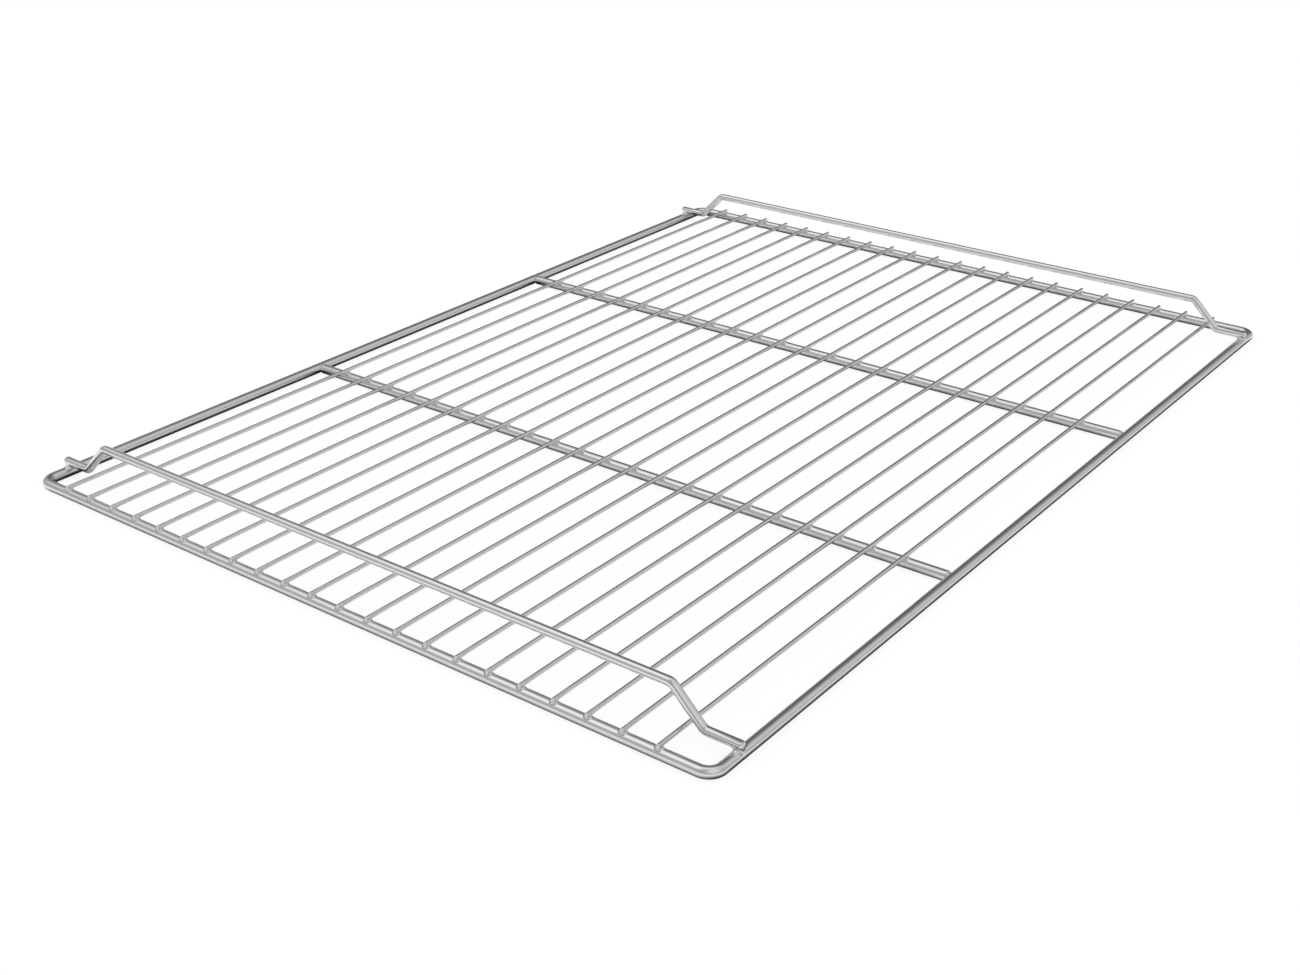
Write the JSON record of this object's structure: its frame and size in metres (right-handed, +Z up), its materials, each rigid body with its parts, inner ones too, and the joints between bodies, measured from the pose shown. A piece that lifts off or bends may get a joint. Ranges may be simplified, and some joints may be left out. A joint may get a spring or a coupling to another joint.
{
  "type": "wire rack",
  "caption": "Flat welded wire rack for an oven: bent rod frame, support bars, a row of thin grid wires and a raised, cranked rail at each end.",
  "frame": {"origin": "under the middle of the frame, level with the underside of its rods", "axes": "+X along the grid wires, to the right as seen from the oven door; -Y towards the door; +Z up"},
  "size_m": [0.715, 0.5219, 0.0312],
  "materials": {
    "chrome_plate": "bright chrome plate on drawn steel rod and wire"
  },
  "bodies": {
    "root": {"frame": "chrome_plate", "support_bar_left": "chrome_plate", "support_bar_right": "chrome_plate", "grid_wire_01": "chrome_plate", "grid_wire_02": "chrome_plate", "grid_wire_03": "chrome_plate", "grid_wire_04": "chrome_plate", "grid_wire_05": "chrome_plate", "grid_wire_06": "chrome_plate", "grid_wire_07": "chrome_plate", "grid_wire_08": "chrome_plate", "grid_wire_09": "chrome_plate", "grid_wire_10": "chrome_plate", "grid_wire_11": "chrome_plate", "grid_wire_12": "chrome_plate", "grid_wire_13": "chrome_plate", "grid_wire_14": "chrome_plate", "grid_wire_15": "chrome_plate", "grid_wire_16": "chrome_plate", "grid_wire_17": "chrome_plate", "grid_wire_18": "chrome_plate", "grid_wire_19": "chrome_plate", "grid_wire_20": "chrome_plate", "grid_wire_21": "chrome_plate", "grid_wire_22": "chrome_plate", "left_rail": "chrome_plate", "right_rail": "chrome_plate"}
  },
  "joints": []
}
